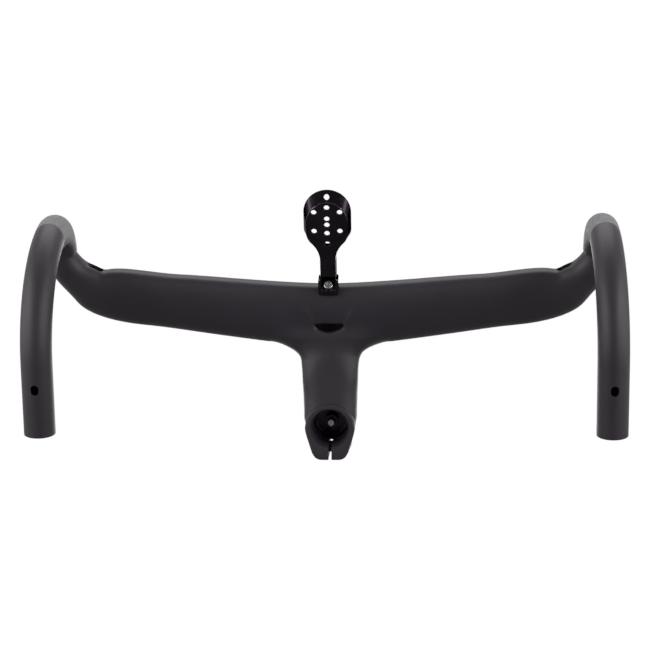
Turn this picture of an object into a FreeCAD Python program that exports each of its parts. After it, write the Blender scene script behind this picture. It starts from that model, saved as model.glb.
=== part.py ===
import FreeCAD, Part
import math
import os
from FreeCAD import Vector

# An integrated road handlebar stem: a hollow moulded bar and stem in one
# piece, with its steerer clamp hardware and its computer mount.
# Part frame: origin on the steerer axis at half the clamp's height; Z runs up
# along that axis, and the bike's front is towards -Y.
# Clamp frame: the same axes from the middle of the clamp's bottom face. The
# pieces are built in it and moved to the part frame at the end.
# Level frame: origin at the bar's reference point, with Z plumb and the
# bike's front towards -Y when the bike stands on flat ground.

# Stem and clamp
STEM_LENGTH = 100.0
STEM_FALL_DEG = 6.0
HEAD_ANGLE_DEG = 73.0
CLAMP_HEIGHT = 42.0
STEERER_DIA = 28.6
STEERER_CLEARANCE = 0.1
CLAMP_WIDTH = 39.6
CLAMP_REAR_REACH = 26.2
CLAMP_REAR_WIDTH = 26.0
CLAMP_REAR_CORNER = 8.0
CLAMP_EDGE_ROUND = 1.7
LEAD_IN_DIA = 32.0
LEAD_IN_DEPTH = 3.0
LOWER_LAND_END = 22.0
UPPER_LAND_START = 27.0
LAND_RELIEF = 0.5
SPLIT_WIDTH = 2.5
STEM_WIDTH_FRONT = 46.2
STEM_STEP = 0.8
STEM_SQUARENESS = 0.62
STEM_WALL = 3.0
STEM_PLACES = (0.0, -16.0, -31.0, -45.0, -54.0, -62.0, -70.0, -79.0, -89.0)
WING_MEETS_Y = 75.0
WING_MEETS_TOP = 24.8
WING_MEETS_BOTTOM = 3.6
FLARE_START = 46.0
FLARE_RUN = 26.0
FLARE_REACH = 36.0
FLARE_POWER = 3.0

# Bar
HOOD_WIDTH = 423.8
BEND_RADIUS = 39.0
LEADING_EDGE = 14.4
LEADING_SWEEP = 0.0905
LEADING_SOFTENING = 33.0
TRAILING_EDGE = 41.2
TRAILING_SWEEP = 0.158
TRAILING_SOFTENING = 25.0
WING_THICKNESS = 22.0
WING_TIP_THICKNESS = 20.5
WING_FULLNESS = 0.78
WING_NOSE = 0.16
BEND_EASE = 1.35
BEND_TUCK = 3.0
TUBE_DIA = 23.8
BAR_WALL = 2.0

# Hooks and drops
REACH = 75.0
DROP = 122.0
DROP_END_SETBACK = 52.0
DROP_SLOPE_DEG = 8.0
RAMP_FALL_DEG = 4.0
TOE_DEG = 0.8
FLARE_DEG = 1.0
DROP_HOLE_FROM_END = 38.0
DROP_HOLE_WIDTH = 6.0
DROP_HOLE_LENGTH = 8.0

# Openings for the hoses
PORT_PAST_TIP = 13.5
PORT_WIDTH = 12.0
PORT_HEIGHT = 7.0
PORT_DEPTH = 16.0
SLOT_Y = -80.5
SLOT_WIDTH = 22.5
SLOT_LENGTH = 8.0
SLOT_RAMP_DEG = 38.0
SLOT_DEPTH = 16.0
SLOT_SURFACE = 3.0

# Pinch bolts
PINCH_BOLT_DIA = 5.0
PINCH_HEAD_DIA = 8.5
PINCH_HEAD_HEIGHT = 5.0
PINCH_SOCKET = 4.0
PINCH_SOCKET_DEPTH = 2.6
PINCH_SETBACK = 18.8
PINCH_HEIGHTS = (11.0, 31.0)
PINCH_SEAT_X = 6.5
PINCH_BARREL_DIA = 7.5
PINCH_BARREL_LENGTH = 8.0
PINCH_BARREL_X = 2.6
HOLE_CLEARANCE = 0.25

# Top cap
CAP_DIA = 35.0
CAP_THICKNESS = 3.6
CAP_SPIGOT_DEPTH = 4.0
CAP_SPIGOT_WALL = 2.2
CAP_BOSS_DIA = 10.8
CAP_BOSS_DEPTH = 11.0
CAP_BOLT_DIA = 6.0
CAP_BOLT_LENGTH = 20.0
CAP_HEAD_DIA = 10.0
CAP_HEAD_HEIGHT = 2.2
CAP_SOCKET = 4.0

# Computer mount
MOUNT_HEAD_RADIUS = 18.7
MOUNT_HEAD_FORWARD = 80.4
MOUNT_SHOULDER_SETBACK = 13.4
MOUNT_SHOULDER_RUN = 24.5
MOUNT_SHOULDER_SHARE = 0.4
MOUNT_TOP = -3.5
MOUNT_BOTTOM = -13.0
MOUNT_DISC_RADIUS = 16.5
MOUNT_DISC_SETBACK = 5.3
MOUNT_DISC_STEP = 0.8
MOUNT_DISC_EDGE = 0.5
MOUNT_FLOOR = 2.2
MOUNT_RIM_WALL = 2.3
MOUNT_CUP_LENGTH = 12.0
MOUNT_HOLE_DIA = 4.3
MOUNT_ROW_OFFSETS = (19.3, 12.4, 3.1, -1.9, -8.9, -17.8)
MOUNT_SIDE_X = 10.1
MOUNT_SIDE_OFFSETS = (8.6, -7.1)
MOUNT_NECK_WIDTH = 14.0
MOUNT_NECK_DRAFT = 1.0
MOUNT_NECK_TOP = -5.5
MOUNT_NECK_EASE = 22.0
MOUNT_GROOVE_X = 4.9
MOUNT_GROOVE_WIDTH = 1.2
MOUNT_GROOVE_DEPTH = 0.9
MOUNT_GROOVE_FORWARD = (48.0, 30.0)
MOUNT_FOOT_WIDTH = 16.0
MOUNT_FOOT_FRONT = 27.5
MOUNT_FOOT_REAR = 13.0
MOUNT_FOOT_HEIGHT = 11.0
MOUNT_FOOT_CORNER = 2.5
MOUNT_FOOT_EDGE = 0.7
SCREW_TILT_DEG = 48.0
SCREW_FORWARD = 19.7
SCREW_SEAT_HEIGHT = -9.3
SCREW_DIA = 4.0
SCREW_HEAD_DIA = 7.0
SCREW_HEAD_HEIGHT = 4.0
SCREW_SOCKET = 3.0
SCREW_LENGTH = 12.0
SCREW_POCKET_WIDTH = 11.0
SCREW_POCKET_HEIGHT = 8.6
SCREW_POCKET_CORNER = 1.5
SCREW_POCKET_DEPTH = 12.0
INSERT_DIA = 7.0
INSERT_START = 6.0
INSERT_LENGTH = 7.5
INSERT_BOSS_WALL = 2.0

SECTION_POINTS = 28
STEM_LOFT_DEGREE = 3
FUSE_GAP = 0.001

# Sizes worked out from the ones above
LEVEL_TILT_DEG = 90.0 - HEAD_ANGLE_DEG
FALL = math.radians(STEM_FALL_DEG)
BAR_Y = -STEM_LENGTH * math.cos(FALL)
BAR_Z = CLAMP_HEIGHT / 2 - STEM_LENGTH * math.sin(FALL)
BORE_R = STEERER_DIA / 2 + STEERER_CLEARANCE / 2
TUBE_R = TUBE_DIA / 2
WING_TIP = HOOD_WIDTH / 2 - BEND_RADIUS
PORT_X = WING_TIP + PORT_PAST_TIP
MOUNT_DISC_FORWARD = MOUNT_HEAD_FORWARD - MOUNT_DISC_SETBACK
MOUNT_SHOULDER_FORWARD = MOUNT_HEAD_FORWARD - MOUNT_SHOULDER_SETBACK
X_AXIS = Vector(1, 0, 0)
Z_AXIS = Vector(0, 0, 1)
ORIGIN = Vector(0, 0, 0)


def to_clamp(shape):
    """Moves a shape from the level frame to the clamp frame."""
    moved = shape.copy()
    moved.rotate(ORIGIN, X_AXIS, LEVEL_TILT_DEG)
    moved.translate(Vector(0, BAR_Y, BAR_Z))
    return moved


def mirrored(shape):
    """The same shape on the other side of the bike."""
    return shape.mirror(ORIGIN, X_AXIS)


def cylinder(radius, height, base, direction=Z_AXIS):
    """A plain cylinder."""
    return Part.makeCylinder(radius, height, base, direction)


def closed_curve(points):
    """One smooth closed wire through the points."""
    curve = Part.BSplineCurve()
    curve.interpolate(Points=points, PeriodicFlag=True)
    return Part.Wire([curve.toShape()])


def power(value, exponent):
    """A signed power, which squares up a circle for exponents under 1."""
    return math.copysign(abs(value) ** exponent, value)


# The bar's sections

def leading_edge(x):
    """How far ahead of the reference point the wing's front edge lies."""
    return LEADING_EDGE + LEADING_SWEEP * math.hypot(x, LEADING_SOFTENING)


def trailing_edge(x):
    """How far ahead of the reference point the wing's rear edge lies."""
    return TRAILING_SWEEP * math.hypot(x, TRAILING_SOFTENING) - TRAILING_EDGE


def wing_thickness(x):
    """The wing thins a little from the stem towards its tips."""
    share = min(1.0, abs(x) / WING_TIP)
    return WING_THICKNESS + (WING_TIP_THICKNESS - WING_THICKNESS) * share


def section(centre, tangent, half_chord, half_height, fullness, nose):
    """A wing or tube section across the bar's path, thicker to the front."""
    up = Z_AXIS - tangent * tangent.dot(Z_AXIS)
    up.normalize()
    ahead = tangent.cross(up)
    points = []
    for step in range(SECTION_POINTS):
        angle = 2 * math.pi * step / SECTION_POINTS
        along = math.cos(angle)
        height = half_height * (1 + nose * along) * power(math.sin(angle), fullness)
        points.append(centre + ahead * (half_chord * along) + up * height)
    return closed_curve(points)


def wing_section(x, inset):
    """A section of the straight wing at x, inset from the outer skin."""
    front = leading_edge(x)
    rear = trailing_edge(x)
    centre = Vector(x, -(front + rear) / 2, 0)
    half_chord = (front - rear) / 2 - inset
    half_height = wing_thickness(x) / 2 - inset
    return section(centre, X_AXIS, half_chord, half_height, WING_FULLNESS, WING_NOSE)


def bend_angle_end():
    """The bend turns a little past straight ahead, by the drops' toe."""
    return math.radians(90.0 + TOE_DEG)


def bend_centre(angle):
    """A point of the bend's centre line, from the wing tip to the ramp."""
    tip_middle = (leading_edge(WING_TIP) + trailing_edge(WING_TIP)) / 2
    radius = BEND_RADIUS - BEND_TUCK * math.sin(2 * min(angle, math.pi / 2)) ** 2
    x = WING_TIP + radius * math.sin(angle)
    forward = tip_middle + BEND_RADIUS - radius * math.cos(angle)
    fall = math.tan(math.radians(RAMP_FALL_DEG)) / 2 * BEND_RADIUS * angle * angle / bend_angle_end()
    return Vector(x, -forward, -fall)


def bend_section(angle, side, inset):
    """A section of the bend, which turns the wing into the round tube."""
    share = (1 - angle / bend_angle_end()) ** BEND_EASE
    chord = leading_edge(WING_TIP) - trailing_edge(WING_TIP)
    half_chord = TUBE_R + (chord / 2 - TUBE_R) * share - inset
    half_height = TUBE_R + (WING_TIP_THICKNESS / 2 - TUBE_R) * share - inset
    fullness = 1 + (WING_FULLNESS - 1) * share
    centre = bend_centre(angle)
    tangent = Vector(math.cos(angle), -math.sin(angle), 0)
    tangent.z = -math.tan(math.radians(RAMP_FALL_DEG)) * angle / bend_angle_end()
    if side < 0:
        centre.x = -centre.x
        tangent = Vector(tangent.x, -tangent.y, -tangent.z)
    tangent.normalize()
    return section(centre, tangent, half_chord, half_height, fullness, WING_NOSE * share)


def hook_frame():
    """The right hook's start, its forward axis and its upward axis."""
    toe = math.radians(TOE_DEG)
    flare = math.radians(FLARE_DEG)
    ahead = Vector(-math.sin(toe), -math.cos(toe), 0)
    outward = Vector(math.cos(toe), -math.sin(toe), 0)
    upward = Z_AXIS * math.cos(flare) - outward * math.sin(flare)
    return bend_centre(bend_angle_end()), ahead, upward


def hook_tube(radius):
    """The right hook and drop: two arcs and a straight end, with one round section."""
    start, ahead, upward = hook_frame()
    fall = math.radians(RAMP_FALL_DEG)
    slope = math.radians(DROP_SLOPE_DEG)
    turn = math.pi / 2 - slope
    top_radius = (REACH + start.y) / (1 - math.sin(fall))
    nose = (top_radius * (1 - math.sin(fall)), -top_radius * math.cos(fall))
    end = (-DROP_END_SETBACK + start.y, -DROP - start.z)

    def spot(p, q):
        return start + ahead * p + upward * q

    # the lower arc's radius and the straight end's length close the path
    span = nose[0] - end[0]
    depth = nose[1] - end[1]
    curved = 1 - math.cos(turn)
    low_radius = (depth * math.cos(slope) - span * math.sin(slope)) / (
        math.sin(turn) * math.cos(slope) - curved * math.sin(slope))
    straight = (span - low_radius * curved) / math.cos(slope)
    low_end = (nose[0] - low_radius * curved, nose[1] - low_radius * math.sin(turn))

    half = (math.pi / 2 + fall) / 2
    rise = half - fall
    top_mid = (nose[0] - top_radius * (1 - math.cos(rise)), nose[1] + top_radius * math.sin(rise))
    low_mid = (nose[0] - low_radius * (1 - math.cos(turn / 2)), nose[1] - low_radius * math.sin(turn / 2))
    top_arc = Part.Arc(spot(0, 0), spot(*top_mid), spot(*nose)).toShape()
    low_arc = Part.Arc(spot(*nose), spot(*low_mid), spot(*low_end)).toShape()
    direction = ahead * -math.cos(slope) + upward * -math.sin(slope)
    tail_start = spot(*low_end)
    tail = Part.LineSegment(tail_start, tail_start + direction * straight).toShape()
    heading = ahead * math.cos(fall) - upward * math.sin(fall)
    ring = Part.Wire([Part.Circle(start, heading, radius).toShape()])
    pipe = Part.Wire([top_arc, low_arc, tail]).makePipeShell([ring], True, False)
    return pipe, tail_start + direction * straight, direction


def bar_stations():
    """The wing's section places, evenly spaced from the middle to the tips."""
    return [WING_TIP * step / 5 for step in range(-4, 5)]


def bar_loft(inset):
    """The wing and both bends as one smooth loft, ending in the round tubes."""
    angles = [bend_angle_end() * step / 5 for step in range(5)]
    start, ahead, upward = hook_frame()
    fall = math.radians(RAMP_FALL_DEG)
    heading = ahead * math.cos(fall) - upward * math.sin(fall)
    left_start = Vector(-start.x, start.y, start.z)
    left_heading = Vector(heading.x, -heading.y, -heading.z)
    radius = TUBE_R - inset
    wires = [section(left_start, left_heading, radius, radius, 1, 0)]
    wires += [bend_section(angle, -1, inset) for angle in reversed(angles)]
    wires += [wing_section(x, inset) for x in bar_stations()]
    wires += [bend_section(angle, 1, inset) for angle in angles]
    wires.append(section(start, heading, radius, radius, 1, 0))
    return Part.makeLoft(wires, True, False)


# The stem's sections

def ease(share):
    """Runs smoothly from 0 to 1, level at both ends."""
    share = max(0.0, min(1.0, share))
    return share * share * (3 - 2 * share)


def stem_top(y):
    """The stem's top line, which levels out on the wing's top."""
    return CLAMP_HEIGHT - STEM_STEP - (CLAMP_HEIGHT - STEM_STEP - WING_MEETS_TOP) * ease(-y / WING_MEETS_Y)


def stem_bottom(y):
    """The stem's belly line, which rises a little towards the wing."""
    return STEM_STEP + (WING_MEETS_BOTTOM - STEM_STEP) * ease(-y / WING_MEETS_Y)


def stem_half_width(y):
    """Half the stem's width, flaring in a widening sweep to the wing's rear edge."""
    share = ease(-y / FLARE_START)
    straight = CLAMP_WIDTH / 2 + (STEM_WIDTH_FRONT - CLAMP_WIDTH) / 2 * share
    run = min(1.0, max(0.0, (-y - FLARE_START) / FLARE_RUN))
    return straight + FLARE_REACH * run ** FLARE_POWER


def stem_section(y, inset):
    """An upright section of the stem, from the clamp to the bar."""
    share = ease((-y - FLARE_START) / FLARE_RUN)
    half_width = stem_half_width(y) - inset
    half_height = (stem_top(y) - stem_bottom(y)) / 2 - inset
    middle = (stem_top(y) + stem_bottom(y)) / 2
    wing_middle = BAR_Z + (y - BAR_Y) * math.tan(math.radians(LEVEL_TILT_DEG))
    lift = (wing_middle - middle) * share
    squareness = STEM_SQUARENESS + (1 - STEM_SQUARENESS) * share
    points = []
    for step in range(SECTION_POINTS):
        angle = 2 * math.pi * step / SECTION_POINTS
        across = power(math.cos(angle), squareness)
        height = half_height * power(math.sin(angle), squareness)
        points.append(Vector(half_width * across, y, middle + height + lift * across * across))
    return closed_curve(points)


def stem_loft(places, inset):
    """The stem through its sections at the given places."""
    return Part.makeLoft([stem_section(y, inset) for y in places], True, False, False, STEM_LOFT_DEGREE)


def clamp_body():
    """The steerer clamp's solid: a collar with a tapering, rounded rear."""
    radius = CLAMP_WIDTH / 2
    rear = CLAMP_REAR_REACH
    half = CLAMP_REAR_WIDTH / 2
    taper = Part.makePolygon([Vector(-radius, 0, 0), Vector(-half, rear, 0), Vector(half, rear, 0),
                              Vector(radius, 0, 0), Vector(-radius, 0, 0)])
    block = Part.Face(taper).extrude(Vector(0, 0, CLAMP_HEIGHT))
    corners = [edge for edge in block.Edges
               if abs(edge.tangentAt(edge.FirstParameter).z) > 0.9 and edge.BoundBox.YMin > rear - 1]
    block = block.makeFillet(CLAMP_REAR_CORNER, corners)
    body = block.fuse(cylinder(radius, CLAMP_HEIGHT, ORIGIN)).removeSplitter()
    rims = [edge for edge in body.Edges
            if edge.BoundBox.ZLength < 0.01]
    return body.makeFillet(CLAMP_EDGE_ROUND, rims)


def screw_point(depth):
    """A point on the mount screw's axis, at a depth past its head's seat, level frame."""
    return Vector(0, -SCREW_FORWARD, SCREW_SEAT_HEIGHT) + screw_direction() * depth


def screw_direction():
    """The way the mount screw runs: up and to the rear, level frame."""
    tilt = math.radians(SCREW_TILT_DEG)
    return Vector(0, math.sin(tilt), math.cos(tilt))


def outer_body():
    """The whole moulding before it is hollowed."""
    hook = hook_tube(TUBE_R)[0]
    bar = bar_loft(0).fuse([hook, mirrored(hook)], FUSE_GAP)
    body = to_clamp(bar).fuse(stem_loft(STEM_PLACES, 0))
    return body.fuse(clamp_body())


def cavity():
    """The space inside the moulding, open at the drop ends."""
    hook = hook_tube(TUBE_R - BAR_WALL)[0]
    bar = bar_loft(BAR_WALL).fuse([hook, mirrored(hook)], FUSE_GAP)
    places = (-CLAMP_WIDTH / 2 - STEM_WALL,) + STEM_PLACES[2:]
    stem = stem_loft(places, STEM_WALL)
    space = to_clamp(bar).fuse(stem)
    start = INSERT_START - INSERT_BOSS_WALL
    length = INSERT_LENGTH + 2 * INSERT_BOSS_WALL
    boss = cylinder(INSERT_DIA / 2 + INSERT_BOSS_WALL, length, screw_point(start), screw_direction())
    return space.cut(to_clamp(boss))


def steerer_bore():
    """The bore with its lead-in cone and the relief between its two lands."""
    bore = cylinder(BORE_R, CLAMP_HEIGHT + 2, Vector(0, 0, -1))
    relief = cylinder(BORE_R + LAND_RELIEF, UPPER_LAND_START - LOWER_LAND_END, Vector(0, 0, LOWER_LAND_END))
    lead_in = Part.makeCone(LEAD_IN_DIA / 2, BORE_R, LEAD_IN_DEPTH)
    return bore.fuse([relief, lead_in])


def split():
    """The slit through the rear of the clamp."""
    return Part.makeBox(SPLIT_WIDTH, CLAMP_REAR_REACH + 2, CLAMP_HEIGHT + 2, Vector(-SPLIT_WIDTH / 2, 0, -1))


def pinch_holes():
    """For each pinch bolt: its shaft hole, its head's counterbore and its barrel's hole."""
    tools = []
    for height in PINCH_HEIGHTS:
        def at(x):
            return Vector(x, PINCH_SETBACK, height)
        half = CLAMP_WIDTH / 2
        shaft = cylinder(PINCH_BOLT_DIA / 2 + HOLE_CLEARANCE, PINCH_SEAT_X + PINCH_BARREL_X + 1,
                         at(-PINCH_BARREL_X - 0.5), X_AXIS)
        head = cylinder(PINCH_HEAD_DIA / 2 + HOLE_CLEARANCE, half, at(PINCH_SEAT_X), X_AXIS)
        barrel = cylinder(PINCH_BARREL_DIA / 2, half, at(-PINCH_BARREL_X), X_AXIS * -1)
        tools += [shaft, head, barrel]
    return tools


def oval_prism(width, length, height, base):
    """An upright prism with a rounded-end slot outline, its length along Y."""
    radius = width / 2
    straight = (length - width) / 2
    ends = [cylinder(radius, height, base + Vector(0, sign * straight, 0)) for sign in (-1, 1)]
    middle = Part.makeBox(width, 2 * straight, height, base - Vector(radius, straight, 0))
    return middle.fuse(ends).removeSplitter()


def hose_ports():
    """The oval ports on the bar's front edge, one by each hook."""
    port = oval_prism(PORT_HEIGHT, PORT_WIDTH, PORT_DEPTH, ORIGIN)
    port.rotate(ORIGIN, Z_AXIS, 90)
    port.rotate(ORIGIN, X_AXIS, 90)
    port.translate(Vector(PORT_X, -leading_edge(PORT_X) + PORT_DEPTH / 2, 0))
    return [to_clamp(port), to_clamp(mirrored(port))]


def belly_slot():
    """The hose slot in the belly: an upright front edge and a rear ramp that rises towards it."""
    slope = math.radians(SLOT_RAMP_DEG)
    half = SLOT_WIDTH / 2
    front = SLOT_Y - SLOT_LENGTH / 2
    rear = SLOT_Y + SLOT_LENGTH / 2
    side = front + SLOT_LENGTH / 2
    low = WING_MEETS_BOTTOM - SLOT_SURFACE
    outline = Part.Wire([
        Part.LineSegment(Vector(-half, side, low), Vector(-half, front, low)).toShape(),
        Part.LineSegment(Vector(-half, front, low), Vector(half, front, low)).toShape(),
        Part.LineSegment(Vector(half, front, low), Vector(half, side, low)).toShape(),
        Part.Arc(Vector(half, side, low), Vector(0, rear, low), Vector(-half, side, low)).toShape()])
    upright = Part.Face(outline).extrude(Vector(0, 0, SLOT_DEPTH))
    shift = SLOT_SURFACE * math.tan(slope)
    run = Vector(0, -math.sin(slope), math.cos(slope)) * SLOT_DEPTH
    ramp = Part.Face(outline).extrude(run)
    ramp.translate(Vector(0, shift, 0))
    return ramp.common(upright)


def drop_holes():
    """The oval hole under each drop, near its end."""
    end, direction = hook_tube(TUBE_R)[1:]
    down = Vector(0, direction.z, -direction.y)
    down = down * -1 if down.z > 0 else down
    hole = oval_prism(DROP_HOLE_WIDTH, DROP_HOLE_LENGTH, TUBE_DIA, ORIGIN)
    hole.rotate(ORIGIN, X_AXIS, 180 - DROP_SLOPE_DEG)
    hole.translate(end - direction * DROP_HOLE_FROM_END + down * (TUBE_R / 2))
    return [to_clamp(hole), to_clamp(mirrored(hole))]


def insert_hole():
    """The hole in the bar's skin and boss for the screw's threaded insert."""
    start = INSERT_START - INSERT_BOSS_WALL
    length = INSERT_LENGTH + INSERT_START - start
    return to_clamp(cylinder(INSERT_DIA / 2, length, screw_point(start), screw_direction()))


def cockpit_body():
    """The one-piece moulding: bar, hooks, drops, stem and clamp."""
    body = outer_body().cut(cavity())
    tools = [steerer_bore(), split(), belly_slot(), insert_hole()]
    tools += pinch_holes() + hose_ports() + drop_holes()
    return body.cut(tools)


# Clamp hardware

def socket_cut(across, depth, base, direction):
    """A hexagon socket with the given width across its flats."""
    corner = across / 2 / math.cos(math.pi / 6)
    turns = [step * math.pi / 3 for step in range(7)]
    points = [Vector(corner * math.cos(turn), corner * math.sin(turn), 0) for turn in turns]
    prism = Part.Face(Part.makePolygon(points)).extrude(Vector(0, 0, depth))
    prism.Placement = FreeCAD.Placement(base, FreeCAD.Rotation(Z_AXIS, direction))
    return prism


def socket_screw(shaft_dia, length, head_dia, head_height, socket, socket_depth, seat, direction):
    """A socket head screw: its head stands behind the seat and its shaft runs along the direction."""
    head = cylinder(head_dia / 2, head_height, seat - direction * head_height, direction)
    rims = [edge for edge in head.Edges if len(edge.Vertexes) == 1]
    outer_rim = [edge for edge in rims if (edge.CenterOfMass - seat).Length > head_height / 2]
    head = head.makeFillet(min(0.5, head_height / 5), outer_rim)
    shaft = cylinder(shaft_dia / 2, length, seat, direction)
    tip = [edge for edge in shaft.Edges
           if len(edge.Vertexes) == 1 and (edge.CenterOfMass - seat).Length > length / 2]
    shaft = shaft.makeChamfer(shaft_dia / 10, tip)
    key = socket_cut(socket, socket_depth, seat - direction * head_height, direction)
    return head.fuse(shaft).cut(key)


def pinch_bolts():
    """The two bolts across the clamp's slit."""
    length = PINCH_SEAT_X + PINCH_BARREL_X + PINCH_BARREL_LENGTH - 1
    bolts = [socket_screw(PINCH_BOLT_DIA, length, PINCH_HEAD_DIA, PINCH_HEAD_HEIGHT, PINCH_SOCKET,
                          PINCH_SOCKET_DEPTH, Vector(PINCH_SEAT_X, PINCH_SETBACK, height), X_AXIS * -1)
             for height in PINCH_HEIGHTS]
    return Part.makeCompound(bolts)


def pinch_barrels():
    """The threaded barrels bonded in the clamp's other ear."""
    barrels = []
    for height in PINCH_HEIGHTS:
        start = Vector(-PINCH_BARREL_X, PINCH_SETBACK, height)
        barrel = cylinder(PINCH_BARREL_DIA / 2, PINCH_BARREL_LENGTH, start, X_AXIS * -1)
        barrels.append(barrel.cut(cylinder(PINCH_BOLT_DIA / 2, PINCH_BARREL_LENGTH, start, X_AXIS * -1)))
    return Part.makeCompound(barrels)


def cap_seat():
    """The seat of the cap bolt's head."""
    return Vector(0, 0, CLAMP_HEIGHT + CAP_THICKNESS - CAP_HEAD_HEIGHT - HOLE_CLEARANCE)


def top_cap():
    """The cap on the clamp: a disc, a spigot in the bore and a boss round its bolt."""
    disc = cylinder(CAP_DIA / 2, CAP_THICKNESS, Vector(0, 0, CLAMP_HEIGHT))
    rim = [edge for edge in disc.Edges if edge.BoundBox.ZMin > CLAMP_HEIGHT + 1 and len(edge.Vertexes) == 1]
    disc = disc.makeFillet(CAP_THICKNESS / 3, rim)
    spigot_r = BORE_R - HOLE_CLEARANCE
    spigot = cylinder(spigot_r, CAP_SPIGOT_DEPTH, Vector(0, 0, CLAMP_HEIGHT - CAP_SPIGOT_DEPTH))
    spigot_end = Vector(0, 0, CLAMP_HEIGHT - CAP_SPIGOT_DEPTH)
    hollow = cylinder(spigot_r - CAP_SPIGOT_WALL, CAP_SPIGOT_DEPTH, spigot_end)
    boss = cylinder(CAP_BOSS_DIA / 2, CAP_BOSS_DEPTH, Vector(0, 0, CLAMP_HEIGHT - CAP_BOSS_DEPTH))
    cap = disc.fuse([spigot.cut(hollow), boss])
    shaft = cylinder(CAP_BOLT_DIA / 2 + HOLE_CLEARANCE, CLAMP_HEIGHT, Vector(0, 0, CLAMP_HEIGHT / 2))
    recess = cylinder(CAP_HEAD_DIA / 2 + HOLE_CLEARANCE, CAP_THICKNESS, cap_seat())
    return cap.cut([shaft, recess])


def top_cap_bolt():
    """The low-head bolt down the middle of the cap."""
    return socket_screw(CAP_BOLT_DIA, CAP_BOLT_LENGTH, CAP_HEAD_DIA, CAP_HEAD_HEIGHT, CAP_SOCKET,
                        CAP_HEAD_HEIGHT * 0.8, cap_seat(), Z_AXIS * -1)


# Computer mount

def arc(start, middle, end):
    """An arc edge through three points."""
    return Part.Arc(start, middle, end).toShape()


def line(start, end):
    """A straight edge."""
    return Part.LineSegment(start, end).toShape()


def mount_outline(radius, forward, half_neck, height):
    """The mount's plan: a round head, two curved shoulders and a slim neck."""
    shoulder_y = -MOUNT_SHOULDER_FORWARD
    fall = radius - half_neck
    turn = 2 * math.atan2(fall, MOUNT_SHOULDER_RUN)
    radii = MOUNT_SHOULDER_RUN / math.sin(turn)
    outer = radii * MOUNT_SHOULDER_SHARE
    inner = radii - outer
    foot_y = -MOUNT_FOOT_FRONT

    def convex(angle):
        return radius - outer * (1 - math.cos(angle)), shoulder_y + outer * math.sin(angle)

    def concave(angle):
        y = shoulder_y + MOUNT_SHOULDER_RUN - inner * math.sin(angle)
        return half_neck + inner * (1 - math.cos(angle)), y

    def side(sign):
        def at(x, y):
            return Vector(sign * x, y, height)
        return [
            line(at(radius, -forward), at(radius, shoulder_y)),
            arc(at(radius, shoulder_y), at(*convex(turn / 2)), at(*convex(turn))),
            arc(at(*concave(turn)), at(*concave(turn / 2)), at(*concave(0))),
            line(at(*concave(0)), at(half_neck, foot_y))]

    front = arc(Vector(-radius, -forward, height), Vector(0, -forward - radius, height),
                Vector(radius, -forward, height))
    end = line(Vector(half_neck, foot_y, height), Vector(-half_neck, foot_y, height))
    return Part.Wire([front] + side(1) + [end] + list(reversed(side(-1))))


def mount_block():
    """The head and neck as one drafted block, from the narrower underside to the rim."""
    half = MOUNT_NECK_WIDTH / 2
    low = MOUNT_BOTTOM + MOUNT_DISC_STEP
    under = mount_outline(MOUNT_DISC_RADIUS, MOUNT_DISC_FORWARD, half - MOUNT_NECK_DRAFT, low)
    rim = mount_outline(MOUNT_HEAD_RADIUS, MOUNT_HEAD_FORWARD, half, MOUNT_TOP)
    block = Part.makeLoft([under, rim], True, True)
    return block.cut(neck_relief())


def neck_relief():
    """What is cut from over the neck, with a round sweep up to the head's rim."""
    depth = MOUNT_TOP - MOUNT_NECK_TOP
    wide = MOUNT_HEAD_RADIUS * 2
    start = -MOUNT_SHOULDER_FORWARD + MOUNT_SHOULDER_RUN
    centre = Vector(-wide / 2, start, MOUNT_NECK_TOP + MOUNT_NECK_EASE)
    sweep = cylinder(MOUNT_NECK_EASE, wide, centre, X_AXIS)
    rest = Part.makeBox(wide, -start, 2 * depth, Vector(-wide / 2, start, MOUNT_NECK_TOP))
    return sweep.fuse(rest)


def mount_disc():
    """The flat disc that stands a little proud of the underside."""
    place = Vector(0, -MOUNT_DISC_FORWARD, MOUNT_BOTTOM)
    disc = cylinder(MOUNT_DISC_RADIUS, MOUNT_DISC_STEP + 0.2, place)
    edge = [edge for edge in disc.Edges if edge.BoundBox.ZMax < MOUNT_BOTTOM + 0.01]
    return disc.makeChamfer(MOUNT_DISC_EDGE, edge)


def mount_cup():
    """The adapter's cup, from its round floor up to the longer rim."""
    floor = MOUNT_BOTTOM + MOUNT_FLOOR
    rim_radius = MOUNT_HEAD_RADIUS - MOUNT_RIM_WALL
    low_radius = MOUNT_DISC_RADIUS - MOUNT_RIM_WALL
    wires = []
    low = (low_radius, MOUNT_DISC_FORWARD, 0.1, floor)
    high = (rim_radius, MOUNT_HEAD_FORWARD, MOUNT_CUP_LENGTH, MOUNT_TOP + 0.01)
    for radius, forward, length, height in (low, high):
        front = -forward
        rear = -forward + length
        wires.append(Part.Wire([
            arc(Vector(-radius, front, height), Vector(0, front - radius, height),
                Vector(radius, front, height)),
            line(Vector(radius, front, height), Vector(radius, rear, height)),
            arc(Vector(radius, rear, height), Vector(0, rear + radius, height),
                Vector(-radius, rear, height)),
            line(Vector(-radius, rear, height), Vector(-radius, front, height))]))
    return Part.makeLoft(wires, True, True)


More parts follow.
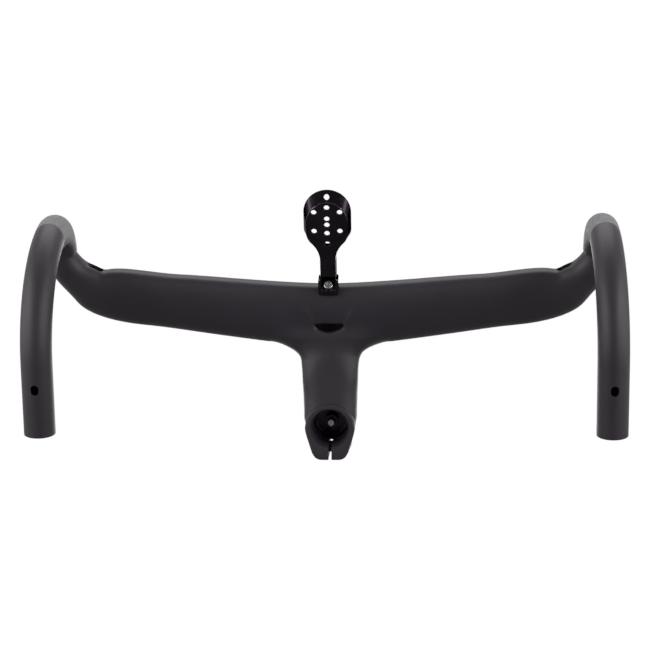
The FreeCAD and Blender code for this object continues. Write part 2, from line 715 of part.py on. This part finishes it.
def mount_foot():
    """The foot that wraps the wing's front underside."""
    length = MOUNT_FOOT_FRONT - MOUNT_FOOT_REAR
    corner = Vector(-MOUNT_FOOT_WIDTH / 2, -MOUNT_FOOT_FRONT, MOUNT_BOTTOM)
    block = Part.makeBox(MOUNT_FOOT_WIDTH, length, MOUNT_FOOT_HEIGHT, corner)
    corners = [edge for edge in block.Edges if edge.BoundBox.ZLength > 1]
    block = block.makeFillet(MOUNT_FOOT_CORNER, corners)
    under = [edge for edge in block.Edges if edge.BoundBox.ZMax < MOUNT_BOTTOM + 0.01]
    return block.makeChamfer(MOUNT_FOOT_EDGE, under)


def mount_holes():
    """The drillings through the head's floor for computer adapters."""
    places = [(0, offset) for offset in MOUNT_ROW_OFFSETS]
    places += [(sign * MOUNT_SIDE_X, offset) for sign in (-1, 1) for offset in MOUNT_SIDE_OFFSETS]
    length = MOUNT_TOP - MOUNT_BOTTOM + 2
    return [cylinder(MOUNT_HOLE_DIA / 2, length, Vector(x, -MOUNT_DISC_FORWARD - offset, MOUNT_BOTTOM - 1))
            for x, offset in places]


def mount_grooves():
    """The two shallow grooves along the neck's underside, from its middle to the screw's pocket."""
    front, rear = MOUNT_GROOVE_FORWARD
    low = MOUNT_BOTTOM - MOUNT_GROOVE_DEPTH
    height = MOUNT_DISC_STEP + 2 * MOUNT_GROOVE_DEPTH
    return [Part.makeBox(MOUNT_GROOVE_WIDTH, front - rear, height,
                         Vector(sign * MOUNT_GROOVE_X - MOUNT_GROOVE_WIDTH / 2, -front, low))
            for sign in (-1, 1)]


def screw_pocket():
    """The rounded pocket that the mount's screw head sits in, along the screw's axis."""
    corner = Vector(-SCREW_POCKET_WIDTH / 2, -SCREW_POCKET_HEIGHT / 2, 0)
    block = Part.makeBox(SCREW_POCKET_WIDTH, SCREW_POCKET_HEIGHT, SCREW_POCKET_DEPTH, corner)
    corners = [edge for edge in block.Edges if edge.BoundBox.ZLength > 1]
    block = block.makeFillet(SCREW_POCKET_CORNER, corners)
    turn = FreeCAD.Rotation(X_AXIS, -SCREW_TILT_DEG)
    block.Placement = FreeCAD.Placement(screw_point(-SCREW_POCKET_DEPTH), turn)
    return block


def computer_mount():
    """The one-piece mount: a bowl-shaped head, a neck and a foot cut to the wing."""
    solid = mount_block().fuse([mount_disc(), mount_foot()]).removeSplitter()
    shaft = cylinder(SCREW_DIA / 2 + HOLE_CLEARANCE, SCREW_LENGTH, screw_point(0), screw_direction())
    tools = [mount_cup(), screw_pocket(), shaft, bar_loft(0)] + mount_holes() + mount_grooves()
    return to_clamp(solid.cut(tools))


def mount_screw():
    """The silver screw that holds the mount to the bar."""
    screw = socket_screw(SCREW_DIA, SCREW_LENGTH, SCREW_HEAD_DIA, SCREW_HEAD_HEIGHT, SCREW_SOCKET,
                         SCREW_HEAD_HEIGHT / 2, screw_point(0), screw_direction())
    return to_clamp(screw)


def mount_insert():
    """The threaded bush moulded into the wing for the mount's screw."""
    start = INSERT_START - INSERT_BOSS_WALL
    length = INSERT_LENGTH + INSERT_START - start
    bush = cylinder(INSERT_DIA / 2, length, screw_point(start), screw_direction())
    bush = bush.common(bar_loft(0))
    return to_clamp(bush.cut(cylinder(SCREW_DIA / 2, 3 * length, screw_point(0), screw_direction())))


NODES = {
    "cockpit_body": cockpit_body,
    "pinch_bolts": pinch_bolts,
    "pinch_barrels": pinch_barrels,
    "top_cap": top_cap,
    "top_cap_bolt": top_cap_bolt,
    "computer_mount": computer_mount,
    "mount_screw": mount_screw,
    "mount_insert": mount_insert,
}


if __name__ == "__main__":
    os.makedirs("parts", exist_ok=True)
    for name, make in NODES.items():
        shape = make()
        shape.translate(Vector(0, 0, -CLAMP_HEIGHT / 2))
        shape.exportStep("parts/" + name + ".step")
        print(name, shape.isValid(), len(shape.Solids), round(shape.Volume, 1))
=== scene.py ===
import math

import bmesh
import bpy
from mathutils import Matrix, Vector
from mathutils.kdtree import KDTree


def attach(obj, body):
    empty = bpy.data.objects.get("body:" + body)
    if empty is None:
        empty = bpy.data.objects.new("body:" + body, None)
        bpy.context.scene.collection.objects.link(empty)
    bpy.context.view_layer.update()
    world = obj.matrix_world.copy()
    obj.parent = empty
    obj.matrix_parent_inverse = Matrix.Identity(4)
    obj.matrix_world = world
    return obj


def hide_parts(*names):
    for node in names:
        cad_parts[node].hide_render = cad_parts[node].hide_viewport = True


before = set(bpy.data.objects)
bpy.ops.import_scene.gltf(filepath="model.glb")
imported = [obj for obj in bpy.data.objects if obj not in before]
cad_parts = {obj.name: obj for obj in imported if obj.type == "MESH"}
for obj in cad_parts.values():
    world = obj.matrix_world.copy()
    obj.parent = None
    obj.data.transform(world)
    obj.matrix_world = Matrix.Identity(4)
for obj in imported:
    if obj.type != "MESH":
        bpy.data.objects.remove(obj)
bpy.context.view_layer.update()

# Camera, fitted to the photograph from under the stem
PHOTO_PIXELS = 650
FOCAL_PIXELS = 1746.0
SENSOR_MM = 36.0
CLIP_END = 50.0
AIM_POINT = Vector((0.0, 0.0, -0.021))
AIM_PIXEL = (329.7, 428.5)
AIM_DISTANCE = 1.404
CAMERA_TILT = math.radians(8.0)
CAMERA_YAW = math.radians(-2.9)
CAMERA_ROLL = math.radians(0.42)

# Grip zones on the hooks: from a slanted ring on the upper leg to a level ring under the bend
GRIP_SLANT_START = 0.3554
GRIP_LOWEST_Z = -0.075
GRIP_EDGE = 0.0007

# Half widths of the stem along Y, off the photograph, and what its fitting leaves alone
STEM_OUTLINE = [
    (-0.0660, 0.04460), (-0.0630, 0.03390), (-0.0600, 0.02790), (-0.0570, 0.02590),
    (-0.0540, 0.02445), (-0.0510, 0.02350), (-0.0470, 0.02285), (-0.0420, 0.02262),
    (-0.0350, 0.02254), (-0.0260, 0.02205), (-0.0160, 0.02155), (-0.0060, 0.02140),
    (0.0010, 0.02025), (0.0060, 0.01930), (0.0110, 0.01855), (0.0160, 0.01710),
    (0.0200, 0.01512), (0.0240, 0.01320),
]
STEM_STEP = 0.003
STEM_REACH = 0.046
SAME_PLACE = 1e-6
DIP_KEPT = 0.0005
BORE_KEPT = 0.0163
BORE_FADE = 0.0025
CLAMP_EARS_Y = 0.010
EAR_KEPT = 0.0115
EAR_FADE = 0.003

# Two soft ridges that run forward from the hose slot's ends, as (x, y) from slot to front
RIDGE_LINE = [(0.0135, -0.080), (0.0150, -0.0870), (0.0172, -0.0930), (0.0205, -0.0985)]
RIDGE_HALF_WIDTH = 0.0032
RIDGE_HEIGHT = 0.0009
RIDGE_FALL = 1.6
RIDGE_END_POWER = 0.7
RIDGE_ZONE = ((-0.030, 0.030), (-0.106, -0.070))
RIDGE_FACET = 0.0022
SPLIT_ROUNDS = 4
UNDERSIDE_Z = -0.012
FACING_DOWN = -0.5

# The blend between stem and wing
CREASE_REACH = 0.050
CREASE_FADE = 0.010
CREASE_BACK = (-0.104, -0.064)
CREASE_ANGLES = (math.radians(5.0), math.radians(28.0))
RIM_KEPT = 0.003
BLEND_WIDTH = 0.009
BLEND_STRENGTH = 0.5
BLEND_PASSES = 40
SHARP_ANGLE = math.radians(32.0)

# Light: reflections see a dim studio below the object and the white backdrop above it
WORLD_LIGHT = 0.38
STUDIO_DIM = 0.16
STUDIO_DIM_BELOW = 0.0
STUDIO_WHITE_ABOVE = 0.9
SOFT_WHITE = (0.97, 0.97, 1.0, 1.0)
PLAIN_WHITE = (1.0, 1.0, 1.0, 1.0)

# Soft boxes: name, place, width, length, power
LIGHT_AIM = (0.0, -0.08, -0.02)
LIGHTS = [
    ("box_left", (-1.15, -0.30, -0.60), 1.0, 2.0, 17.0),
    ("box_right", (1.15, -0.30, -0.60), 1.0, 2.0, 17.0),
    ("strip_left", (-1.0, -0.68, -0.72), 0.12, 0.9, 4.5),
    ("strip_right", (1.0, -0.68, -0.72), 0.12, 0.9, 4.5),
    ("box_front", (0.0, -1.35, 0.45), 1.6, 0.8, 16.0),
    ("box_over", (0.0, 0.3, 1.3), 1.4, 1.0, 10.0),
]

# Colours
CARBON = (0.0150, 0.0112, 0.0160, 1.0)
CARBON_WORN = (0.0185, 0.0145, 0.0200, 1.0)
GRIP_DARK = (0.055, 0.053, 0.057, 1.0)
GRIP_LIGHT = (0.26, 0.26, 0.27, 1.0)
ANODISED = (0.038, 0.031, 0.039, 1.0)
STEEL = (0.56, 0.55, 0.55, 1.0)
BLACK_STEEL = (0.05, 0.05, 0.055, 1.0)
BRASS = (0.70, 0.52, 0.25, 1.0)

# Surfaces: roughness, and the scale of the noise that breaks it up
CARBON_ROUGHNESS = (0.46, 0.54)
CARBON_SHINE = 0.35
CARBON_CLOUD = 18.0
CARBON_SKIN = 900.0
GRIP_ROUGHNESS = 0.75
GRIP_GRIT = 1500.0
ANODISED_ROUGHNESS = (0.14, 0.20)
ANODISED_CLOUD = 60.0
ANODISED_GRAIN = 2500.0
ANODISED_GRAZING = (0.12, 0.12, 0.13, 1.0)
EDGE_SOFTNESS = 0.0005
METAL_GRAIN = 400.0


# Materials

class Nodes:
    """A short way to build one material's node tree."""

    def __init__(self, name):
        self.material = bpy.data.materials.new(name)
        self.material.use_nodes = True
        self.tree = self.material.node_tree
        self.tree.nodes.clear()
        self.output = self.add("ShaderNodeOutputMaterial")
        self.shader = self.add("ShaderNodeBsdfPrincipled")
        self.link(self.shader, "BSDF", self.output, "Surface")
        self.coords = self.add("ShaderNodeTexCoord")

    def add(self, kind, **values):
        node = self.tree.nodes.new(kind)
        for key, value in values.items():
            setattr(node, key, value)
        return node

    def link(self, source, out, target, into):
        self.tree.links.new(source.outputs[out], target.inputs[into])

    def noise(self, scale, detail=4.0, roughness=0.55):
        node = self.add("ShaderNodeTexNoise")
        node.inputs["Scale"].default_value = scale
        node.inputs["Detail"].default_value = detail
        node.inputs["Roughness"].default_value = roughness
        self.link(self.coords, "Object", node, "Vector")
        return node

    def ramp(self, source, out, stops):
        node = self.add("ShaderNodeValToRGB")
        node.color_ramp.elements[0].position = stops[0][0]
        node.color_ramp.elements[0].color = stops[0][1]
        node.color_ramp.elements[1].position = stops[-1][0]
        node.color_ramp.elements[1].color = stops[-1][1]
        self.link(source, out, node, "Fac")
        return node

    def span(self, source, out, low, high):
        node = self.add("ShaderNodeMapRange")
        node.inputs["To Min"].default_value = low
        node.inputs["To Max"].default_value = high
        self.link(source, out, node, "Value")
        return node

    def bump(self, source, out, strength, distance):
        node = self.add("ShaderNodeBump")
        node.inputs["Strength"].default_value = strength
        node.inputs["Distance"].default_value = distance
        self.link(source, out, node, "Height")
        return node

    def step(self, source, out, start):
        node = self.add("ShaderNodeMapRange", interpolation_type="SMOOTHSTEP")
        node.inputs["From Min"].default_value = start
        node.inputs["From Max"].default_value = start + GRIP_EDGE
        self.link(source, out, node, "Value")
        return node

    def math(self, operation, source, out, value):
        node = self.add("ShaderNodeMath", operation=operation)
        self.link(source, out, node, 0)
        node.inputs[1].default_value = value
        return node


def grip_mask(nodes):
    """One on the hooks' foremost bends, where the skin is textured for a lever's clamp."""
    place = nodes.add("ShaderNodeSeparateXYZ")
    nodes.link(nodes.coords, "Object", place, "Vector")
    outward = nodes.math("ABSOLUTE", place, "X", 0.0)
    slant = nodes.add("ShaderNodeMath", operation="SUBTRACT")
    nodes.link(outward, "Value", slant, 0)
    nodes.link(place, "Y", slant, 1)
    ahead = nodes.step(slant, "Value", GRIP_SLANT_START)
    above = nodes.step(place, "Z", GRIP_LOWEST_Z)
    mask = nodes.add("ShaderNodeMath", operation="MULTIPLY")
    nodes.link(ahead, "Result", mask, 0)
    nodes.link(above, "Result", mask, 1)
    return mask


def carbon_material():
    """Satin clear coat over black carbon fibre, with grit-textured grip zones."""
    nodes = Nodes("satin_carbon")
    shader = nodes.shader
    cloud = nodes.noise(CARBON_CLOUD, 3.0)
    fine = nodes.noise(CARBON_SKIN, 2.0)
    grit = nodes.noise(GRIP_GRIT, 4.0, 0.75)
    mask = grip_mask(nodes)

    plain = nodes.ramp(cloud, "Fac", [(0.3, CARBON), (0.75, CARBON_WORN)])
    speck = nodes.ramp(grit, "Fac", [(0.38, GRIP_DARK), (0.66, GRIP_LIGHT)])
    colour = nodes.add("ShaderNodeMix", data_type="RGBA")
    nodes.link(mask, "Value", colour, "Factor")
    nodes.tree.links.new(plain.outputs["Color"], colour.inputs[6])
    nodes.tree.links.new(speck.outputs["Color"], colour.inputs[7])
    nodes.tree.links.new(colour.outputs[2], shader.inputs["Base Color"])

    smooth = nodes.span(cloud, "Fac", *CARBON_ROUGHNESS)
    rough = nodes.add("ShaderNodeMix", data_type="FLOAT")
    nodes.link(mask, "Value", rough, "Factor")
    nodes.tree.links.new(smooth.outputs["Result"], rough.inputs[2])
    rough.inputs[3].default_value = GRIP_ROUGHNESS
    nodes.tree.links.new(rough.outputs[0], shader.inputs["Roughness"])

    skin = nodes.bump(fine, "Fac", 0.08, 0.0002)
    grain = nodes.bump(grit, "Fac", 0.7, 0.0006)
    nodes.link(mask, "Value", grain, "Strength")
    nodes.link(skin, "Normal", grain, "Normal")
    nodes.link(grain, "Normal", shader, "Normal")
    shader.inputs["Specular IOR Level"].default_value = CARBON_SHINE
    return nodes.material


def metal_material(name, colour, roughness):
    """A metal with fine uneven polish."""
    nodes = Nodes(name)
    shader = nodes.shader
    grain = nodes.noise(METAL_GRAIN, 3.0)
    shade = tuple(min(1.0, channel * 1.25) for channel in colour[:3]) + (1.0,)
    tint = nodes.ramp(grain, "Fac", [(0.3, colour), (0.8, shade)])
    nodes.link(tint, "Color", shader, "Base Color")
    polish = nodes.span(grain, "Fac", roughness * 0.8, roughness * 1.25)
    nodes.link(polish, "Result", shader, "Roughness")
    relief = nodes.bump(grain, "Fac", 0.06, 0.0001)
    nodes.link(relief, "Normal", shader, "Normal")
    shader.inputs["Metallic"].default_value = 1.0
    return nodes.material


def anodised_material():
    """Glossy black anodised aluminium whose machined edges catch the light."""
    nodes = Nodes("anodised_black")
    shader = nodes.shader
    cloud = nodes.noise(ANODISED_CLOUD, 3.0)
    shade = tuple(channel * 1.4 for channel in ANODISED[:3]) + (1.0,)
    tint = nodes.ramp(cloud, "Fac", [(0.3, ANODISED), (0.8, shade)])
    nodes.link(tint, "Color", shader, "Base Color")
    polish = nodes.span(cloud, "Fac", *ANODISED_ROUGHNESS)
    nodes.link(polish, "Result", shader, "Roughness")
    edges = nodes.add("ShaderNodeBevel", samples=8)
    edges.inputs["Radius"].default_value = EDGE_SOFTNESS
    fine = nodes.noise(ANODISED_GRAIN, 2.0)
    relief = nodes.bump(fine, "Fac", 0.03, 0.0001)
    nodes.link(edges, "Normal", relief, "Normal")
    nodes.link(relief, "Normal", shader, "Normal")
    shader.inputs["Metallic"].default_value = 1.0
    shader.inputs["Specular Tint"].default_value = ANODISED_GRAZING
    return nodes.material


def dress(node, material):
    """Gives a CAD node its material."""
    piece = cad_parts[node]
    piece.data.materials.clear()
    piece.data.materials.append(material)


# The moulded body: the CAD solid's mesh with the photograph's even taper and soft blends

def smoothstep(low, high, value):
    share = min(1.0, max(0.0, (value - low) / (high - low)))
    return share * share * (3.0 - 2.0 * share)


def between(table, place):
    """Reads a table of (place, value) rows along a line."""
    for (low, first), (high, last) in zip(table, table[1:]):
        if place <= high:
            share = max(0.0, (place - low) / (high - low))
            return first + (last - first) * share
    return table[-1][1]


def outline_now(verts):
    """The stem's own half width, read off its mesh every STEM_STEP along it."""
    start, end = STEM_OUTLINE[0][0], STEM_OUTLINE[-1][0]
    rows = {}
    for vert in verts:
        x, y, _ = vert.co
        if start - STEM_STEP <= y <= end + STEM_STEP and abs(x) < STEM_REACH:
            row = round(y / STEM_STEP)
            rows[row] = max(rows.get(row, 0.0), abs(x))
    table = [(row * STEM_STEP, width) for row, width in sorted(rows.items())]
    kept = []
    for k, (place, width) in enumerate(table):
        at_end = k in (0, len(table) - 1)
        if at_end or width >= min(table[k - 1][1], table[k + 1][1]) - DIP_KEPT:
            kept.append((place, width))
    return kept


def even_taper(verts):
    """Moves the stem's flanks on to the photograph's outline, and leaves the bore alone."""
    now = outline_now(verts)
    for vert in verts:
        x, y, _ = vert.co
        if not STEM_OUTLINE[0][0] < y < STEM_OUTLINE[-1][0] or abs(x) > STEM_REACH:
            continue
        share = between(STEM_OUTLINE, y) / between(now, y) - 1.0
        clear = smoothstep(BORE_KEPT, BORE_KEPT + BORE_FADE, math.hypot(x, y))
        if y > CLAMP_EARS_Y:
            clear *= smoothstep(EAR_KEPT, EAR_KEPT + EAR_FADE, abs(x))
        vert.co.x = x * (1.0 + share * clear)


def crease_points(mesh):
    """Points along the line where the stem's skin meets the wing's."""
    points = []
    for edge in mesh.edges:
        if len(edge.link_faces) != 2:
            continue
        middle = (edge.verts[0].co + edge.verts[1].co) / 2
        if abs(middle.x) > CREASE_REACH or not CREASE_BACK[0] < middle.y < CREASE_BACK[1]:
            continue
        if CREASE_ANGLES[0] < edge.calc_face_angle(0.0) < CREASE_ANGLES[1]:
            points.append(middle)
    return points


def soften_creases(mesh):
    """Rounds the crease between the stem and the wing into the moulding's soft blend."""
    points = crease_points(mesh)
    tree = KDTree(len(points))
    for k, point in enumerate(points):
        tree.insert(point, k)
    tree.balance()
    rims = KDTree(len(mesh.edges))
    for k, edge in enumerate(mesh.edges):
        if len(edge.link_faces) == 2 and edge.calc_face_angle(0.0) >= CREASE_ANGLES[1]:
            rims.insert((edge.verts[0].co + edge.verts[1].co) / 2, k)
    rims.balance()
    weights = {}
    for vert in mesh.verts:
        if abs(vert.co.x) > CREASE_REACH:
            continue
        gap = tree.find(vert.co)[2]
        if gap is None or gap >= BLEND_WIDTH:
            continue
        rim_gap = rims.find(vert.co)[2]
        weight = BLEND_STRENGTH * (1.0 - smoothstep(BLEND_WIDTH / 2, BLEND_WIDTH, gap))
        weight *= smoothstep(0.0, RIM_KEPT, RIM_KEPT if rim_gap is None else rim_gap)
        weight *= 1.0 - smoothstep(CREASE_REACH - CREASE_FADE, CREASE_REACH, abs(vert.co.x))
        weights[vert] = weight
    for _ in range(BLEND_PASSES):
        moved = {}
        for vert, weight in weights.items():
            near = [edge.other_vert(vert).co for edge in vert.link_edges]
            middle = sum(near, Vector()) / len(near)
            moved[vert] = vert.co.lerp(middle, weight)
        for vert, place in moved.items():
            vert.co = place


def in_ridge_zone(point):
    (left, right), (front, back) = RIDGE_ZONE
    x, y, z = point
    return left < x < right and front < y < back and z < UNDERSIDE_Z


def split_long_edges(mesh):
    """Gives the underside round the hose slot facets that are fine enough for the ridges."""
    for _ in range(SPLIT_ROUNDS):
        long_edges = []
        for edge in mesh.edges:
            middle = (edge.verts[0].co + edge.verts[1].co) / 2
            if in_ridge_zone(middle) and edge.calc_length() > RIDGE_FACET:
                long_edges.append(edge)
        if not long_edges:
            return
        bmesh.ops.subdivide_edges(mesh, edges=long_edges, cuts=1)
        bmesh.ops.triangulate(mesh, faces=[face for face in mesh.faces if len(face.verts) > 3])


def raise_ridges(mesh):
    """Swells the skin along the two soft ridges beside the hose slot."""
    mesh.normal_update()
    corners = [Vector(corner) for corner in RIDGE_LINE]
    lines = list(zip(corners, corners[1:]))
    whole = sum((end - start).length for start, end in lines)
    moves = []
    for vert in mesh.verts:
        if not in_ridge_zone(vert.co) or vert.normal.z > FACING_DOWN:
            continue
        point = Vector((abs(vert.co.x), vert.co.y))
        best, along, gone = 1.0, 0.0, 0.0
        for start, end in lines:
            run = end - start
            share = min(1.0, max(0.0, (point - start).dot(run) / run.length_squared))
            gap = (point - start - run * share).length
            if gap < best:
                best, along = gap, (gone + share * run.length) / whole
            gone += run.length
        swell = math.exp(-(best / RIDGE_HALF_WIDTH * RIDGE_FALL) ** 2)
        swell = swell * math.sin(math.pi * along) ** RIDGE_END_POWER
        moves.append((vert, vert.normal.copy() * RIDGE_HEIGHT * swell))
    for vert, move in moves:
        vert.co += move


def moulded_body(material):
    """The one-piece bar and stem, in place of its CAD node."""
    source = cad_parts["cockpit_body"]
    mesh = bmesh.new()
    mesh.from_mesh(source.data)
    bmesh.ops.remove_doubles(mesh, verts=mesh.verts, dist=SAME_PLACE)
    even_taper(mesh.verts)
    split_long_edges(mesh)
    soften_creases(mesh)
    raise_ridges(mesh)
    for face in mesh.faces:
        face.smooth = True
    for edge in mesh.edges:
        edge.smooth = len(edge.link_faces) == 2 and edge.calc_face_angle(0.0) < SHARP_ANGLE
    data = bpy.data.meshes.new("moulded_body")
    mesh.to_mesh(data)
    mesh.free()
    if "custom_normal" in data.attributes:
        data.attributes.remove(data.attributes["custom_normal"])
    data.materials.clear()
    data.materials.append(material)
    for face in data.polygons:
        face.material_index = 0
    body = bpy.data.objects.new("moulded_body", data)
    bpy.context.scene.collection.objects.link(body)
    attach(body, "root")
    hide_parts("cockpit_body")


# Camera, lights and backdrop

def camera_axes():
    """The camera's viewing direction, and its right and up directions."""
    look = Vector((math.sin(CAMERA_YAW), math.sin(CAMERA_TILT) * math.cos(CAMERA_YAW),
                   math.cos(CAMERA_TILT) * math.cos(CAMERA_YAW))).normalized()
    front = Vector((0.0, -1.0, 0.0))
    up = (front - look * look.dot(front)).normalized()
    right = look.cross(up)
    leaning_right = right * math.cos(CAMERA_ROLL) - up * math.sin(CAMERA_ROLL)
    leaning_up = up * math.cos(CAMERA_ROLL) + right * math.sin(CAMERA_ROLL)
    return look, leaning_right, leaning_up


def place_camera():
    """Stands the camera where the photograph was taken."""
    look, right, up = camera_axes()
    middle = PHOTO_PIXELS / 2
    across = (AIM_PIXEL[0] - middle) / FOCAL_PIXELS * AIM_DISTANCE
    above = (middle - AIM_PIXEL[1]) / FOCAL_PIXELS * AIM_DISTANCE
    eye = AIM_POINT - look * AIM_DISTANCE - right * across - up * above
    data = bpy.data.cameras.new("photo_camera")
    data.sensor_width = SENSOR_MM
    data.lens = FOCAL_PIXELS / PHOTO_PIXELS * SENSOR_MM
    data.clip_end = CLIP_END
    camera = bpy.data.objects.new("photo_camera", data)
    turn = Matrix((right, up, -look)).transposed()
    camera.matrix_world = Matrix.Translation(eye) @ turn.to_4x4()
    bpy.context.scene.collection.objects.link(camera)
    bpy.context.scene.camera = camera


def area_light(name, place, width, length, power):
    """A soft box that faces LIGHT_AIM."""
    data = bpy.data.lights.new(name, "AREA")
    data.energy = power
    data.shape = "RECTANGLE"
    data.size = width
    data.size_y = length
    light = bpy.data.objects.new(name, data)
    place = Vector(place)
    light.location = place
    light.rotation_euler = (Vector(LIGHT_AIM) - place).to_track_quat("-Z", "Y").to_euler()
    light.visible_camera = False
    bpy.context.scene.collection.objects.link(light)


def white_world():
    """Plain white for the camera, and a softer light for diffuse surfaces.

    Reflections see the white backdrop above the object, and the dim studio below it.
    """
    world = bpy.data.worlds.new("studio")
    bpy.context.scene.world = world
    world.use_nodes = True
    tree = world.node_tree
    tree.nodes.clear()

    def add(kind, **values):
        node = tree.nodes.new(kind)
        for key, value in values.items():
            setattr(node, key, value)
        return node

    output = add("ShaderNodeOutputWorld")
    path = add("ShaderNodeLightPath")
    coords = add("ShaderNodeTexCoord")
    place = add("ShaderNodeSeparateXYZ")
    tree.links.new(coords.outputs["Generated"], place.inputs["Vector"])
    height = add("ShaderNodeMapRange")
    height.inputs["From Min"].default_value = STUDIO_DIM_BELOW
    height.inputs["From Max"].default_value = STUDIO_WHITE_ABOVE
    height.inputs["To Min"].default_value = STUDIO_DIM
    height.inputs["To Max"].default_value = 1.0
    tree.links.new(place.outputs["Z"], height.inputs["Value"])
    seen = add("ShaderNodeMath", operation="MAXIMUM")
    tree.links.new(path.outputs["Is Camera Ray"], seen.inputs[0])
    tree.links.new(height.outputs["Result"], seen.inputs[1])

    mirrored = add("ShaderNodeMath", operation="MAXIMUM")
    tree.links.new(path.outputs["Is Glossy Ray"], mirrored.inputs[0])
    tree.links.new(path.outputs["Is Transmission Ray"], mirrored.inputs[1])
    backdrop = add("ShaderNodeMath", operation="MAXIMUM")
    tree.links.new(path.outputs["Is Camera Ray"], backdrop.inputs[0])
    tree.links.new(mirrored.outputs["Value"], backdrop.inputs[1])

    mix = add("ShaderNodeMixShader")
    soft = add("ShaderNodeBackground")
    soft.inputs["Color"].default_value = SOFT_WHITE
    soft.inputs["Strength"].default_value = WORLD_LIGHT
    plain = add("ShaderNodeBackground")
    plain.inputs["Color"].default_value = PLAIN_WHITE
    tree.links.new(seen.outputs["Value"], plain.inputs["Strength"])
    tree.links.new(backdrop.outputs["Value"], mix.inputs["Fac"])
    tree.links.new(soft.outputs["Background"], mix.inputs[1])
    tree.links.new(plain.outputs["Background"], mix.inputs[2])
    tree.links.new(mix.outputs["Shader"], output.inputs["Surface"])


def write_sizes():
    """Defines a helper that turns a box's corners into lists, and does nothing else."""
    def plain(box):
        return [list(corner) for corner in box]


anodised = anodised_material()
steel = metal_material("stainless_steel", STEEL, 0.22)
black_steel = metal_material("black_steel", BLACK_STEEL, 0.4)
brass = metal_material("machined_brass", BRASS, 0.3)
moulded_body(carbon_material())
dress("computer_mount", anodised)
dress("top_cap", anodised)
dress("top_cap_bolt", steel)
dress("mount_screw", steel)
dress("pinch_bolts", black_steel)
dress("pinch_barrels", steel)
dress("mount_insert", brass)

place_camera()
for light in LIGHTS:
    area_light(*light)
white_world()
bpy.context.scene.view_settings.view_transform = "Standard"
write_sizes()
